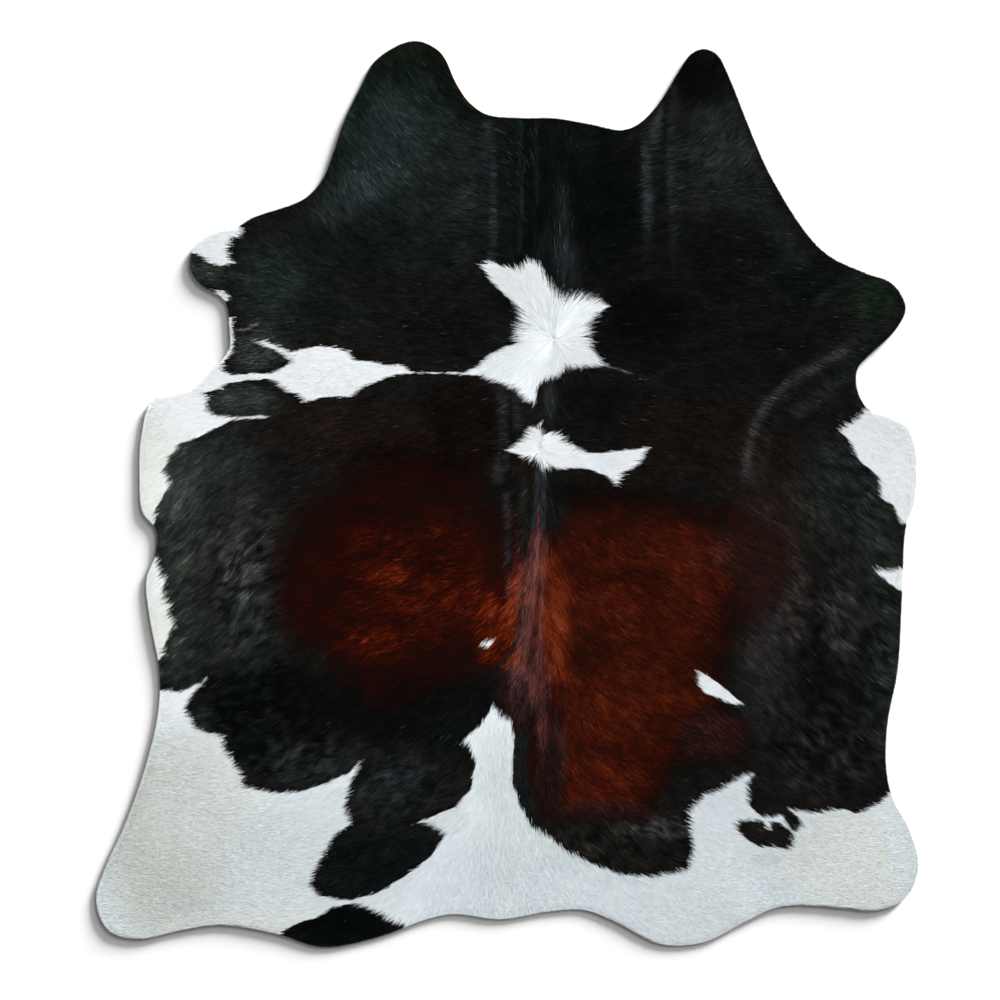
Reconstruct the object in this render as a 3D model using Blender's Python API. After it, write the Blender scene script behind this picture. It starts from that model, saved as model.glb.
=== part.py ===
"""Cowhide rug: one whole hair-on hide, tanned and pressed flat, with the rim it was trimmed to.

Metres, +Z up. The hide lies flesh side down on z = 0, under the middle of its own outline. +Y runs up the
spine towards the neck, and +X towards the fore shank that is on the right when the coat is seen from above.
"""

import math

import bpy
from mathutils import Vector, geometry, kdtree

# Driving dimensions, in metres.
LEATHER = 0.0026  # tanned hide without its hair, as it shows at the cut rim
COAT_BACK = 0.0036  # depth of the short hair that lies along the back
COAT_BELLY = 0.0056  # depth of the longer, looser hair along the flanks
BACK_HALF_WIDTH = 0.35  # how far from the spine the short hair reaches
BELLY_START = 0.75  # how far from the spine the hair has its full depth
RIM_ROUND = 0.011  # width over which the coat rounds down to the cut rim
RIM_UNDERCUT = 0.0012  # the rim's lower corner is pared back by this much
WAVE_HEIGHT = 0.0007  # the hide's leftover waviness, up and down from its mean
WAVE_LENGTHS = (0.41, 0.29)  # from crest to crest, across and along the hide
CREASE_HALF_WIDTH = 0.012  # from a fold mark's crest to its foot

RIM_STEPS = 4  # rim points for each landmark of the outline
ROUND_STEPS = 3  # rings that round the coat down to the rim
TOP_GRID = 0.047  # mesh spacing on the coat
UNDER_GRID = 0.150  # mesh spacing on the flat underside
CREASE_STEP = 0.040  # mesh spacing along a fold mark

# The outline, section by section, clockwise as seen from above: (x, y) of each landmark.
RIM = {
    "left neck flap": ((-0.338, 0.966), (-0.308, 1.019), (-0.219, 1.065), (-0.155, 1.038), (-0.118, 0.966)),
    "neck edge": ((-0.087, 0.921), (-0.042, 0.891), (0.028, 0.884), (0.115, 0.883), (0.202, 0.868)),
    "neck corner": ((0.275, 0.855), (0.315, 0.874), (0.357, 0.917)),
    "right neck flap": ((0.409, 0.999), (0.433, 1.034), (0.464, 1.046), (0.495, 1.033), (0.518, 0.992)),
    "right shoulder": ((0.571, 0.860), (0.616, 0.757), (0.702, 0.616), (0.757, 0.560)),
    "right fore shank": ((0.848, 0.517), (0.907, 0.494), (0.938, 0.437), (0.912, 0.383), (0.855, 0.329)),
    "right elbow": ((0.825, 0.294), (0.825, 0.242), (0.851, 0.197), (0.893, 0.183)),
    "right flank": ((0.938, 0.160), (0.961, 0.103), (0.959, -0.014), (0.938, -0.082), (0.930, -0.230)),
    "right stifle": ((0.919, -0.414), (0.895, -0.543), (0.893, -0.651)),
    "right hind shank": ((0.909, -0.719), (0.945, -0.785), (0.968, -0.874), (0.938, -0.949), (0.870, -0.978)),
    "right hind edge": ((0.794, -0.973), (0.712, -0.966), (0.637, -0.971), (0.555, -1.008)),
    "right rump": ((0.465, -1.053), (0.360, -1.057), (0.263, -1.008), (0.186, -0.978)),
    "tail edge": ((0.106, -0.980), (-0.014, -0.999), (-0.125, -0.987)),
    "left rump": ((-0.193, -1.001), (-0.296, -1.039), (-0.432, -1.065), (-0.545, -1.032)),
    "left hind edge": ((-0.665, -1.013), (-0.766, -1.027)),
    "left hind shank": ((-0.860, -1.046), (-0.935, -1.025), (-0.964, -0.954), (-0.942, -0.877), (-0.900, -0.785)),
    "left stifle": ((-0.855, -0.663), (-0.820, -0.524), (-0.815, -0.418), (-0.837, -0.296)),
    "left flank notch": ((-0.846, -0.202), (-0.825, -0.143), (-0.825, -0.082), (-0.855, -0.042)),
    "left flank": ((-0.862, 0.052), (-0.858, 0.134), (-0.830, 0.223)),
    "left elbow": ((-0.747, 0.242), (-0.710, 0.277), (-0.653, 0.338), (-0.651, 0.390), (-0.663, 0.456)),
    "left fore shank": ((-0.721, 0.494), (-0.743, 0.531), (-0.733, 0.583), (-0.689, 0.613)),
    "left shoulder": ((-0.635, 0.626), (-0.597, 0.649), (-0.477, 0.693), (-0.432, 0.740), (-0.407, 0.801)),
    "left neck": ((-0.381, 0.877),),
}

# Marks where the hide was folded for packing: start, pull of the bend, end, height of the ridge.
CREASES = {
    "neck, left of the spine": ((-0.045, 0.865), (-0.043, 0.740), (-0.046, 0.573), 0.0010),
    "neck, on the spine": ((0.033, 0.860), (0.035, 0.740), (0.030, 0.620), 0.0008),
    "neck, right of the spine": ((0.338, 0.880), (0.342, 0.790), (0.350, 0.691), 0.0012),
    "neck, far right": ((0.395, 0.930), (0.402, 0.790), (0.404, 0.620), 0.0010),
    "back, by the spine": ((-0.026, 0.256), (-0.022, 0.140), (-0.014, 0.033), 0.0011),
    "loin, by the spine": ((-0.010, -0.020), (-0.005, -0.180), (-0.002, -0.343), 0.0009),
    "right flank": ((0.569, 0.045), (0.600, 0.240), (0.770, 0.330), 0.0014),
    "right elbow": ((0.735, 0.172), (0.775, 0.190), (0.795, 0.228), 0.0008),
}


def clear_scene():
    for leftover in list(bpy.data.objects):
        bpy.data.objects.remove(leftover, do_unlink=True)


def smooth_loop(landmarks, steps):
    """Points on the closed smooth curve through the landmarks, with its pull eased by their spacing."""
    count = len(landmarks)
    loop = []
    for i in range(count):
        before, here, there, after = (landmarks[(i + k) % count] for k in (-1, 0, 1, 2))
        span_before, span, span_after = (math.sqrt((b - a).length) for a, b in
                                         ((before, here), (here, there), (there, after)))
        leave = (here - before) / span_before - (there - before) / (span_before + span) + (there - here) / span
        arrive = (there - here) / span - (after - here) / (span + span_after) + (after - there) / span_after
        for k in range(steps):
            t = k / steps
            loop.append(
                here * (2 * t**3 - 3 * t**2 + 1)
                + leave * (span * (t**3 - 2 * t**2 + t))
                + there * (3 * t**2 - 2 * t**3)
                + arrive * (span * (t**3 - t**2))
            )
    return loop


def centred(loop):
    """The loop moved so that its box has the origin in the middle, and how far it moved."""
    xs = [p.x for p in loop]
    ys = [p.y for p in loop]
    middle = Vector(((min(xs) + max(xs)) / 2, (min(ys) + max(ys)) / 2))
    return [p - middle for p in loop], -middle


def inward(loop):
    """The unit direction from each point of a clockwise loop towards the hide."""
    directions = []
    for i, point in enumerate(loop):
        along = (loop[(i + 1) % len(loop)] - loop[i - 1]).normalized()
        directions.append(Vector((along.y, -along.x)))
    return directions


def crease_lines(shift):
    """Each fold mark as a list of points along its crest, with its ridge height."""
    lines = []
    for start, bend, end, height in CREASES.values():
        start, bend, end = (Vector(p) + shift for p in (start, bend, end))
        steps = math.ceil((end - start).length / CREASE_STEP)
        crest = []
        for k in range(steps + 1):
            t = k / steps
            crest.append(start * (1 - t) ** 2 + bend * (2 * t * (1 - t)) + end * t**2)
        lines.append((crest, height))
    return lines


def ridge(point, lines):
    """Height that the fold marks add at a point: full on a crest, nothing at its foot and its ends."""
    raised = 0.0
    for crest, height in lines:
        for i in range(len(crest) - 1):
            foot, share = geometry.intersect_point_line(point, crest[i], crest[i + 1])
            if 0.0 <= share <= 1.0:
                aside = (point - foot).length / CREASE_HALF_WIDTH
                along = (i + share) / (len(crest) - 1)
                fade = min(1.0, 4.0 * along, 4.0 * (1.0 - along))
                raised = max(raised, height * fade * max(0.0, 1.0 - aside))
    return raised


def coat_top(point, lines):
    """Height of the coat's surface over the floor, away from the rim."""
    belly = (abs(point.x) - BACK_HALF_WIDTH) / (BELLY_START - BACK_HALF_WIDTH)
    belly = min(1.0, max(0.0, belly))
    depth = COAT_BACK + (COAT_BELLY - COAT_BACK) * belly * belly * (3.0 - 2.0 * belly)
    across, along = WAVE_LENGTHS
    wave = math.sin(2 * math.pi * (point.x / across + 0.15)) * math.sin(2 * math.pi * (point.y / along + 0.4))
    return LEATHER + depth + WAVE_HEIGHT * wave + ridge(point, lines)


def inner_points(ring, spacing, keep_clear):
    """A staggered grid inside the ring, clear of the ring and of the points in keep_clear."""
    taken = kdtree.KDTree(len(ring) + len(keep_clear))
    for i, p in enumerate(ring + keep_clear):
        taken.insert((p.x, p.y, 0.0), i)
    taken.balance()
    row_step = spacing * math.sqrt(3) / 2
    left, right = min(p.x for p in ring), max(p.x for p in ring)
    low, high = min(p.y for p in ring), max(p.y for p in ring)
    points = []
    for row in range(1, int((high - low) / row_step)):
        y = low + row * row_step
        offset = spacing / 2 if row % 2 else 0.0
        for column in range(int((right - left) / spacing) + 1):
            p = Vector((left + offset + column * spacing, y))
            if taken.find((p.x, p.y, 0.0))[2] > 0.55 * spacing and inside(p, ring):
                points.append(p)
    return points


def inside(point, ring):
    crossings = 0
    for a, b in zip(ring, ring[1:] + ring[:1]):
        if (a.y > point.y) != (b.y > point.y):
            if point.x < a.x + (point.y - a.y) / (b.y - a.y) * (b.x - a.x):
                crossings += 1
    return crossings % 2 == 1


def filled(ring, extra):
    """Triangles over the ring and the extra points inside it: the points in order, and index triples."""
    points = ring + extra
    edges = [(i, (i + 1) % len(ring)) for i in range(len(ring))]
    placed, _, faces, came_from, _, _ = geometry.delaunay_2d_cdt(points, edges, [], 1, 1e-7)
    source = [origins[0] for origins in came_from]
    assert len(placed) == len(points)
    return points, [tuple(source[i] for i in face) for face in faces]


def rim_profile():
    """Rings of the rim from the floor up: how far in, what share of the leather and of the coat is below."""
    rings = [(RIM_UNDERCUT, 0.0, 0.0), (0.0, 0.4, 0.0), (0.0, 1.0, 0.0)]
    for k in range(1, ROUND_STEPS + 1):
        angle = math.pi / 2 * k / ROUND_STEPS
        rings.append((RIM_ROUND * (1.0 - math.cos(angle)), 1.0, math.sin(angle)))
    return rings


def hide_mesh():
    landmarks = [Vector(p) for section in RIM.values() for p in section]
    loop, shift = centred(smooth_loop(landmarks, RIM_STEPS))
    directions = inward(loop)
    lines = crease_lines(shift)

    verts = []
    faces = []
    rings = []
    for inset, leather_share, coat_share in rim_profile():
        ring = []
        for point, direction in zip(loop, directions):
            p = point + direction * inset
            height = LEATHER * leather_share + (coat_top(p, lines) - LEATHER) * coat_share
            ring.append(len(verts))
            verts.append((p.x, p.y, height))
        rings.append(ring)
    count = len(loop)
    for lower, upper in zip(rings, rings[1:]):
        for i in range(count):
            j = (i + 1) % count
            faces.append((lower[j], lower[i], upper[i], upper[j]))

    crease_points = []
    for crest, _ in lines:
        for i in range(len(crest)):
            along = (crest[min(i + 1, len(crest) - 1)] - crest[max(i - 1, 0)]).normalized()
            foot = Vector((along.y, -along.x)) * CREASE_HALF_WIDTH
            crease_points += [crest[i] - foot, crest[i], crest[i] + foot]

    top_ring = [Vector(verts[i][:2]) for i in rings[-1]]
    points, triangles = filled(top_ring, crease_points + inner_points(top_ring, TOP_GRID, crease_points))
    index = list(rings[-1])
    for p in points[count:]:
        index.append(len(verts))
        verts.append((p.x, p.y, coat_top(p, lines)))
    faces += [tuple(index[i] for i in face) for face in triangles]

    under_ring = [Vector(verts[i][:2]) for i in rings[0]]
    points, triangles = filled(under_ring, inner_points(under_ring, UNDER_GRID, []))
    index = list(rings[0])
    for p in points[count:]:
        index.append(len(verts))
        verts.append((p.x, p.y, 0.0))
    faces += [tuple(index[i] for i in reversed(face)) for face in triangles]

    mesh = bpy.data.meshes.new("cowhide")
    mesh.from_pydata(verts, [], faces)
    mesh.validate()
    mesh.shade_smooth()
    mesh.set_sharp_from_angle(angle=math.radians(50))
    return mesh


def coat_material():
    """Black-brown hair, the coat's main colour."""
    material = bpy.data.materials.new("hair_on_hide")
    material.use_nodes = True
    shader = material.node_tree.nodes["Principled BSDF"]
    shader.inputs["Base Color"].default_value = (0.020, 0.016, 0.013, 1.0)
    shader.inputs["Roughness"].default_value = 0.6
    shader.inputs["Metallic"].default_value = 0.0
    return material


def main():
    clear_scene()
    mesh = hide_mesh()
    mesh.materials.append(coat_material())
    hide = bpy.data.objects.new("cowhide", mesh)
    bpy.context.scene.collection.objects.link(hide)


main()
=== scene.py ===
import math

import bpy
import numpy as np
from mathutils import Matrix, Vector, geometry


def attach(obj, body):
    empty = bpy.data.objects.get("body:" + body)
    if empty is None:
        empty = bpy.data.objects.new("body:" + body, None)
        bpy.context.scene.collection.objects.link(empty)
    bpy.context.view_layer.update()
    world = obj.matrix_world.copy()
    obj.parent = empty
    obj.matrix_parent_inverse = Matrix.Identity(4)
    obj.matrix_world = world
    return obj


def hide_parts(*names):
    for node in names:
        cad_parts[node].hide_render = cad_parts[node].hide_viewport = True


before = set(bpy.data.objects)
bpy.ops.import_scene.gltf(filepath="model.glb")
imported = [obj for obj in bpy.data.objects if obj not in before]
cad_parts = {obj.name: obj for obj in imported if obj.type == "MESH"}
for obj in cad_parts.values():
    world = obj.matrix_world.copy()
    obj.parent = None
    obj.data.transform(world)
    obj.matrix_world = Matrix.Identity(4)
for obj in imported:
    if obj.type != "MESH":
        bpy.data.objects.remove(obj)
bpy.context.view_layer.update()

# ----------------------------------------------------------------------------------------------------------
# The view. The camera hangs straight over the hide, square to its spine, as the photograph was taken.
# Places on the hide are charted in squares of 2.35 mm, right and down from that view's upper left corner.

SQUARE = 0.00235
SPINE_SQUARE = 507.35  # squares from the chart's left side to x = 0
WAIST_SQUARE = 494.0  # squares from the chart's top to y = 0
CHART_SQUARES = 1000
LENS = 0.100
SENSOR = 0.036
COAT_LEVEL = 0.008


def chart(squares):
    """Places in metres from their squares on the chart."""
    squares = np.array(squares, float).reshape(-1, 2)
    across, along = squares[:, 0] - SPINE_SQUARE, WAIST_SQUARE - squares[:, 1]
    return np.column_stack((across, along)) * SQUARE


camera_data = bpy.data.cameras.new("overhead_camera")
camera_data.lens = LENS * 1000
camera_data.sensor_width = SENSOR * 1000
camera_data.clip_end = 60.0
camera = bpy.data.objects.new("overhead_camera", camera_data)
middle_x, middle_y = chart([(CHART_SQUARES / 2, CHART_SQUARES / 2)])[0]
camera.location = (middle_x, middle_y, COAT_LEVEL + CHART_SQUARES * SQUARE * LENS / SENSOR)
bpy.context.scene.collection.objects.link(camera)
bpy.context.scene.camera = camera

# ----------------------------------------------------------------------------------------------------------
# The studio. A matt white floor, overexposed as in the photograph, a tall soft light at the upper right,
# which leaves a thin soft shadow along the hide's left and lower edges, and a dim even fill from all round.


def paint(code):
    """The linear colour of an sRGB hex value."""
    parts = [int(code[i:i + 2], 16) / 255 for i in (1, 3, 5)]
    return [p / 12.92 if p <= 0.04045 else ((p + 0.055) / 1.055) ** 2.4 for p in parts] + [1.0]


def add(tree, kind, settings=None, **links):
    """A node with its settings, fed by the links: socket name (spaces as _) to a socket or a value."""
    node = tree.nodes.new(kind)
    for key, value in (settings or {}).items():
        setattr(node, key, value)
    for key, value in links.items():
        socket = node.inputs[int(key[1:])] if key[1:].isdigit() else node.inputs[key.replace("_", " ")]
        if isinstance(value, bpy.types.NodeSocket):
            tree.links.new(value, socket)
        else:
            socket.default_value = value
    return node


def fresh_material(name):
    """An empty node material and its tree, with the output node."""
    material = bpy.data.materials.new(name)
    material.use_nodes = True
    tree = material.node_tree
    tree.nodes.clear()
    return material, tree, tree.nodes.new("ShaderNodeOutputMaterial")


# Matt white paint: an even white with no gloss.
floor_material, tree, output = fresh_material("matt_white_paint")
shader = add(tree, "ShaderNodeBsdfPrincipled", Base_Color=paint("#f2f2f1"), Roughness=0.9,
             Specular_IOR_Level=0.2)
tree.links.new(shader.outputs["BSDF"], output.inputs["Surface"])

FLOOR_HALF = 40.0
floor_mesh = bpy.data.meshes.new("studio_floor")
floor_mesh.from_pydata(
    [(x * FLOOR_HALF, y * FLOOR_HALF, 0) for x, y in ((-1, -1), (1, -1), (1, 1), (-1, 1))],
    [],
    [(0, 1, 2, 3)],
)
floor_mesh.materials.append(floor_material)
floor = bpy.data.objects.new("studio_floor", floor_mesh)
bpy.context.scene.collection.objects.link(floor)

KEY_AZIMUTH = math.radians(50)
# The light's lower and upper part: elevation, width across and strength.
KEY_PARTS = {
    "soft_key_low": (math.radians(9.4), math.radians(15), 15.2),
    "soft_key_high": (math.radians(30), math.radians(34), 1.6),
}
for part_name, (elevation, width, strength) in KEY_PARTS.items():
    key_data = bpy.data.lights.new(part_name, "SUN")
    key_data.energy = strength
    key_data.angle = width
    key = bpy.data.objects.new(part_name, key_data)
    towards = Vector((
        math.cos(elevation) * math.cos(KEY_AZIMUTH),
        math.cos(elevation) * math.sin(KEY_AZIMUTH),
        math.sin(elevation),
    ))
    key.rotation_euler = towards.to_track_quat("Z", "Y").to_euler()
    bpy.context.scene.collection.objects.link(key)

world = bpy.data.worlds.new("studio_fill")
world.use_nodes = True
world.node_tree.nodes["Background"].inputs["Color"].default_value = paint("#ffffff")
world.node_tree.nodes["Background"].inputs["Strength"].default_value = 0.16
bpy.context.scene.world = world
bpy.context.scene.view_settings.view_transform = "Standard"

# ----------------------------------------------------------------------------------------------------------
# The leather. One cattle skin, tanned and pressed flat, 2.6 mm thick, its rim pared by the knife and its
# flesh side buffed to suede. The skin is dark where dark hair grows and pinkish cream under the white hair.

LEATHER = 0.0026
RIM_UNDERCUT = 0.0012
RIM_FINER = 4
SKIN_STEP = 0.050
SURVEY_STEP = 0.003
SURVEY_MARGIN = 0.03
SURVEY_REACH = 0.060  # distances to an outline are kept up to this far
PATCH_BLEND = 0.006  # width over which skin and underhair turn at a patch's edge

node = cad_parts["cowhide"]


def underside_rim(obj):
    """The closed loop of points round a solid's flat underside, in order, counter-clockwise."""
    mesh = obj.data
    spots = [tuple(round(c, 6) for c in v.co) for v in mesh.vertices]
    uses = {}
    for polygon in mesh.polygons:
        corners = [spots[i] for i in polygon.vertices]
        if all(abs(c[2]) < 1e-5 for c in corners):
            for a, b in zip(corners, corners[1:] + corners[:1]):
                uses[(a, b)] = uses.get((a, b), 0) + 1
    after = {b: a for (a, b) in uses if (b, a) not in uses}
    start = min(after)
    loop = [start]
    while after[loop[-1]] != start:
        loop.append(after[loop[-1]])
    return np.array(loop)[:, :2]


def finer(loop, times):
    """The same closed loop with more points, on a smooth curve through its own."""
    before, here, there, beyond = (np.roll(loop, k, axis=0) for k in (1, 0, -1, -2))
    rows = []
    for k in range(times):
        t = k / times
        bent = 2 * before - 5 * here + 4 * there - beyond
        twisted = 3 * here - before - 3 * there + beyond
        rows.append(0.5 * (2 * here + (there - before) * t + bent * t**2 + twisted * t**3))
    return np.stack(rows, axis=1).reshape(-1, 2)


def outward(loop):
    """The unit direction out of a counter-clockwise loop at each of its points."""
    along = np.roll(loop, -1, axis=0) - np.roll(loop, 1, axis=0)
    along /= np.linalg.norm(along, axis=1)[:, None]
    return np.column_stack((along[:, 1], -along[:, 0]))


under_rim = finer(underside_rim(node), RIM_FINER)
rim = under_rim + outward(under_rim) * RIM_UNDERCUT

survey_low = rim.min(axis=0) - SURVEY_MARGIN
survey_size = np.ceil((rim.max(axis=0) + SURVEY_MARGIN - survey_low) / SURVEY_STEP).astype(int) + 1
survey_x = survey_low[0] + np.arange(survey_size[0]) * SURVEY_STEP
survey_y = survey_low[1] + np.arange(survey_size[1]) * SURVEY_STEP


def away_from_run(x, y, a, b):
    """How far each place lies from the straight run between two points."""
    run = b - a
    share = ((x - a[0]) * run[0] + (y - a[1]) * run[1]) / max(run @ run, 1e-12)
    share = np.clip(share, 0, 1)
    return np.hypot(x - a[0] - share * run[0], y - a[1] - share * run[1])


def depth_inside(loops):
    """A survey of how far each place lies inside the closed loops, negative outside them."""
    distance = np.full((len(survey_y), len(survey_x)), SURVEY_REACH)
    odd = np.zeros(distance.shape, bool)
    for loop in loops:
        for a, b in zip(loop, np.roll(loop, -1, axis=0)):
            low, high = np.minimum(a, b), np.maximum(a, b)
            i0, j0 = np.maximum(((low - SURVEY_REACH - survey_low) / SURVEY_STEP).astype(int), 0)
            i1, j1 = np.maximum(((high + SURVEY_REACH - survey_low) / SURVEY_STEP).astype(int) + 2, 0)
            x, y = np.meshgrid(survey_x[i0:i1], survey_y[j0:j1])
            distance[j0:j1, i0:i1] = np.minimum(distance[j0:j1, i0:i1], away_from_run(x, y, a, b))
            rows = np.nonzero((survey_y >= low[1]) & (survey_y < high[1]))[0]
            if len(rows):
                cross = a[0] + (survey_y[rows] - a[1]) * (b - a)[0] / (b - a)[1]
                odd[rows] ^= survey_x[None, :] > cross[:, None]
    return np.where(odd, distance, -distance)


def between(field, i, j, u, v):
    """The field's value between four neighbouring nodes, u and v of the way from the first."""
    return ((field[j, i] * (1 - u) + field[j, i + 1] * u) * (1 - v)
            + (field[j + 1, i] * (1 - u) + field[j + 1, i + 1] * u) * v)


def read(field, places):
    """The survey's value at each place, taken evenly between its nearest four nodes."""
    u = np.clip((places[:, 0] - survey_low[0]) / SURVEY_STEP, 0, field.shape[1] - 1.001)
    v = np.clip((places[:, 1] - survey_low[1]) / SURVEY_STEP, 0, field.shape[0] - 1.001)
    i, j = u.astype(int), v.astype(int)
    return between(field, i, j, u - i, v - j)


rim_depth = depth_inside([rim])

# The white patches, each as the chart squares round its edge.
WHITE = {
    "star at the whorl": (
        (479, 264), (489, 260), (500, 266), (512, 267), (521, 266), (529, 258), (540, 264), (548, 280),
        (556, 291), (566, 296), (578, 294), (595, 298), (610, 306), (598, 313), (591, 323), (590, 337),
        (593, 350), (604, 363), (611, 366), (600, 366), (583, 367), (566, 369), (557, 378), (545, 380),
        (536, 388), (534, 405), (524, 400), (516, 390), (504, 385), (490, 381), (477, 375), (464, 375),
        (443, 373), (414, 374), (414, 373), (443, 372), (464, 373), (477, 366), (490, 354), (504, 347),
        (516, 344), (514, 333), (520, 318), (516, 306), (502, 292), (489, 279)),
    "bow-tie on the back": (
        (505, 450), (515, 445), (523, 436), (529, 427), (538, 425), (547, 432), (560, 433), (566, 441),
        (578, 447), (590, 453), (605, 453), (622, 451), (650, 447), (646, 456), (640, 464), (624, 473),
        (618, 486), (609, 476), (595, 471), (583, 468), (564, 469), (550, 468), (543, 471), (538, 464),
        (526, 459), (516, 454)),
    "left shoulder": (
        (270, 374), (280, 368), (289, 364), (290, 352), (307, 348), (318, 346), (338, 348), (347, 353),
        (354, 361), (368, 361), (384, 365), (399, 365), (414, 373), (400, 374), (387, 376), (374, 382),
        (358, 388), (350, 397), (333, 397), (318, 398), (305, 403), (299, 397), (287, 391), (278, 385),
        (270, 379)),
    "left fore shank": (
        (185, 251), (190, 234), (232, 222), (240, 228), (240, 234), (231, 237), (226, 247), (226, 256),
        (230, 262), (221, 266), (209, 263), (201, 256)),
    "left belly": (
        (228, 349), (230, 353), (220, 362), (221, 371), (229, 375), (253, 374), (271, 374), (271, 379),
        (263, 379), (246, 380), (224, 384), (215, 390), (202, 393), (206, 399), (205, 410), (211, 416),
        (234, 418), (264, 416), (264, 418), (230, 421), (210, 431), (194, 439), (179, 444), (168, 456),
        (162, 471), (168, 486), (161, 499), (154, 511), (152, 530), (120, 530), (100, 400), (180, 340)),
    "left belly, lower strip": (
        (152, 553), (156, 565), (159, 574), (165, 582), (161, 592), (162, 601), (170, 607), (166, 615),
        (173, 623), (171, 629), (164, 645), (158, 661), (120, 661), (120, 553)),
    "rump and hind shanks": (
        (161, 691), (179, 693), (204, 682), (191, 693), (183, 710), (194, 728), (220, 738), (223, 752),
        (238, 771), (242, 787), (265, 793), (297, 793), (325, 784), (348, 774), (360, 761), (348, 787),
        (343, 806), (349, 825), (332, 835), (324, 851), (312, 870), (308, 886), (319, 897), (348, 901),
        (376, 894), (405, 876), (430, 857), (445, 835), (427, 824), (415, 823), (453, 808), (470, 790),
        (475, 765), (469, 747), (461, 743), (481, 726), (492, 708), (500, 717), (511, 723), (514, 742),
        (512, 781), (519, 806), (532, 828), (551, 840), (570, 855), (599, 867), (621, 876), (656, 878),
        (691, 870), (695, 848), (691, 812), (704, 797), (723, 790), (739, 779), (755, 773), (749, 787),
        (750, 806), (765, 819), (784, 816), (793, 811), (822, 814), (841, 809), (860, 814), (879, 804),
        (891, 793), (940, 790), (940, 1000), (80, 1000), (80, 691)),
    "right stifle dash": (
        (701, 672), (715, 681), (729, 692), (743, 704), (735, 706), (719, 698), (705, 693), (699, 683)),
    "right flank": (
        (867, 411), (857, 421), (841, 430), (852, 442), (859, 459), (871, 470), (881, 478), (883, 500),
        (895, 506), (903, 525), (940, 525), (940, 411)),
    "fleck by the spine": ((479, 645), (485, 643), (492, 642), (491, 645), (487, 649), (484, 647)),
    "streak up from the shoulder patch": (
        (255, 341), (264, 342), (276, 347), (292, 353), (288, 358), (274, 350), (262, 346)),
    "nick by the left bay": ((213, 290), (222, 291), (227, 297), (223, 302), (217, 300)),
    "white hairs along the bay": (
        (224, 316), (230, 318), (229, 326), (230, 336), (231, 343), (228, 350), (223, 350)),
    "right flank wedge": ((876, 572), (902, 570), (930, 572), (930, 594), (902, 592), (889, 583)),
}
# Black spots that stand in the white.
BLACK_IN_WHITE = {
    "spot on the right rump": (
        (736, 826), (741, 821), (752, 821), (763, 821), (768, 826), (770, 832), (771, 823), (780, 823),
        (789, 829), (795, 836), (794, 845), (788, 851), (781, 848), (770, 847), (759, 847), (750, 841),
        (742, 835)),
    "spot's upper lobe": (
        (782, 805), (794, 812), (801, 820), (803, 826), (799, 832), (794, 832), (789, 826), (784, 817)),
    "spot on the tail edge": (
        (279, 932), (300, 922), (316, 918), (332, 907), (351, 904), (370, 910), (389, 921), (402, 927),
        (420, 970), (270, 970)),
}

white_depth = np.full(rim_depth.shape, -SURVEY_REACH)
for squares in WHITE.values():
    white_depth = np.maximum(white_depth, depth_inside([chart(squares)]))
for squares in BLACK_IN_WHITE.values():
    white_depth = np.minimum(white_depth, -depth_inside([chart(squares)]))


def spread(loop, step, near, far):
    """A staggered grid of points inside a loop, those at depths from near to far inside the rim."""
    xs = np.arange(loop[:, 0].min(), loop[:, 0].max(), step)
    ys = np.arange(loop[:, 1].min(), loop[:, 1].max(), step * math.sqrt(3) / 2)
    x, y = np.meshgrid(xs, ys)
    x[1::2] += step / 2
    places = np.column_stack((x.ravel(), y.ravel()))
    depths = read(rim_depth, places)
    return places[(depths > near) & (depths <= far)]


def covered(loop, places):
    """Triangles over a loop and the places inside it."""
    points = [Vector(p) for p in np.vstack((loop, places))]
    edges = [(i, (i + 1) % len(loop)) for i in range(len(loop))]
    _, _, faces, came_from, _, _ = geometry.delaunay_2d_cdt(points, edges, [], 1, 1e-7)
    return [tuple(came_from[i][0] for i in face) for face in faces]


def note(mesh, name, values):
    """Notes numbers at the mesh's points, one or three to a point, for its material to read."""
    values = np.asarray(values, np.float32)
    kind, key = ("FLOAT", "value") if values.ndim == 1 else ("FLOAT_VECTOR", "vector")
    mesh.attributes.new(name, kind, "POINT").data.foreach_set(key, values.ravel())


def mixed(tree, share, first, second, blend="MIX"):
    """The two colours mixed, or blended, by the share."""
    settings = {"data_type": "RGBA", "blend_type": blend}
    return add(tree, "ShaderNodeMix", settings, Factor=share, i6=first, i7=second).outputs[2]


def thing(name, mesh, material):
    """An object of that mesh and material, riding on the hide."""
    mesh.materials.append(material)
    obj = bpy.data.objects.new(name, mesh)
    bpy.context.scene.collection.objects.link(obj)
    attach(obj, "root")
    return obj


rings = [(under_rim, 0.0), (rim, 0.45 * LEATHER), (rim - outward(rim) * 0.0004, LEATHER)]
verts = [(x, y, z) for ring, z in rings for x, y in ring]
count = len(rim)
faces = []
for lower, upper in ((0, count), (count, 2 * count)):
    for i in range(count):
        j = (i + 1) % count
        faces.append((lower + i, lower + j, upper + j, upper + i))
for ring, height, first, turned in ((rings[2][0], LEATHER, 2 * count, False), (rings[0][0], 0.0, 0, True)):
    places = spread(ring, SKIN_STEP, 0.4 * SKIN_STEP, SURVEY_REACH)
    index = list(range(first, first + count)) + list(range(len(verts), len(verts) + len(places)))
    verts += [(x, y, height) for x, y in places]
    for face in covered(ring, places):
        face = tuple(index[i] for i in face)
        faces.append(face[::-1] if turned else face)
leather_mesh = bpy.data.meshes.new("leather")
leather_mesh.from_pydata(verts, [], faces)
leather_mesh.update()
where = np.array(verts)
note(leather_mesh, "under_white_hair", np.clip(read(white_depth, where) / PATCH_BLEND + 0.5, 0, 1))

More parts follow.
